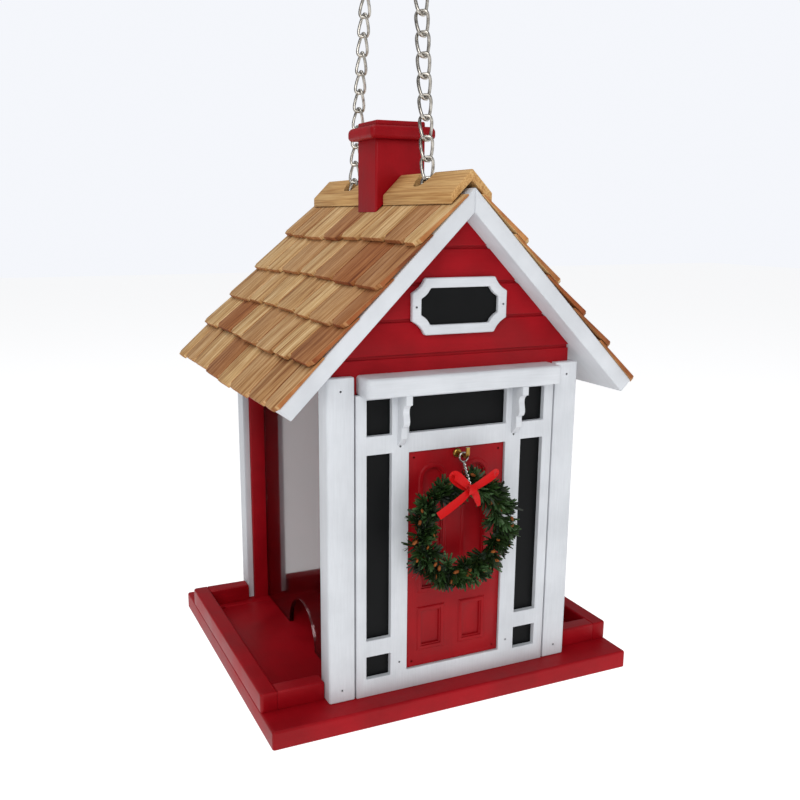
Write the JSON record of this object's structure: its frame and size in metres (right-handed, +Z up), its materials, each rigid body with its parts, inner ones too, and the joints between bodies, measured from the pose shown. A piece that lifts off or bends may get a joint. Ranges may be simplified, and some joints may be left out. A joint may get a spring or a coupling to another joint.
{
  "type": "hanging hopper bird feeder",
  "caption": "Hanging wooden bird feeder shaped like a cottage, with seed trays, clear side panels, a lift-up shingled roof and a chain hanger.",
  "frame": {"origin": "centre of the base board's underside", "axes": "+Z up, -Y out of the door gable, ridge along Y, +X to the right when facing the door"},
  "size_m": [0.2, 0.1933, 0.5968],
  "materials": {
    "red_paint": "satin red paint on wood",
    "white_paint": "satin white paint on wood",
    "black_paint": "matt black",
    "cedar": "unfinished cedar",
    "cedar_cap": "unfinished cedar",
    "clear_acrylic": "clear acrylic sheet",
    "steel": "bright zinc-plated steel",
    "brad_steel": "wire brads",
    "brass": "brass-plated",
    "tinsel": "green tinsel",
    "ribbon": "red ribbon"
  },
  "bodies": {
    "hanger": {"hang_ring": "steel"},
    "house": {"base_board": "red_paint", "chain_front": "steel", "chain_rear": "steel", "clear_panel_left": "clear_acrylic", "clear_panel_right": "clear_acrylic", "corner_board_front_left": "white_paint", "corner_board_front_right": "white_paint", "corner_board_rear_left": "white_paint", "corner_board_rear_right": "white_paint", "corner_brads_front": "brad_steel", "corner_brads_rear": "brad_steel", "cup_hook": "brass", "door": "red_paint", "door_brads": "brad_steel", "door_surround": "white_paint", "gable_wall_front": "red_paint", "gable_wall_rear": "red_paint", "lintel_bracket_left": "white_paint", "lintel_bracket_right": "white_paint", "lintel_shelf": "white_paint", "plaque_frame": "white_paint", "plaque_nails": "brad_steel", "plaque_panel": "black_paint", "screw_eye_front": "steel", "screw_eye_rear": "steel", "surround_brads": "brad_steel", "tray_rail_front_left": "red_paint", "tray_rail_front_right": "red_paint", "tray_rail_rear_left": "red_paint", "tray_rail_rear_right": "red_paint", "tray_rail_side_left": "red_paint", "tray_rail_side_right": "red_paint", "window_backing": "black_paint"},
    "roof": {"chimney_crown": "red_paint", "chimney_rim": "red_paint", "chimney_stack": "red_paint", "ridge_cap_front": "cedar_cap", "ridge_cap_rear": "cedar_cap", "roof_board_left": "white_paint", "roof_board_right": "white_paint", "shingles_left_1": "cedar", "shingles_left_2": "cedar", "shingles_left_3": "cedar", "shingles_left_4": "cedar", "shingles_left_5": "cedar", "shingles_right_1": "cedar", "shingles_right_2": "cedar", "shingles_right_3": "cedar", "shingles_right_4": "cedar", "shingles_right_5": "cedar"},
    "wreath": {"wreath_ring": "tinsel", "wreath_loop": "steel", "wreath_bow": "ribbon"}
  },
  "joints": [
    {"name": "side_swing", "type": "hinge", "parent": "hanger", "child": "house", "pos_m": [0, 0, 0.5632], "axis": [0, 1, 0], "range_deg": [-30, 30]},
    {"name": "roof_lift", "type": "slide", "parent": "house", "child": "roof", "axis": [0, 0, 1], "range_m": [0, 0.03]},
    {"name": "wreath_swing", "type": "hinge", "parent": "house", "child": "wreath", "pos_m": [0, -0.0805, 0.128], "axis": [0, 1, 0], "range_deg": [-20, 20]}
  ]
}
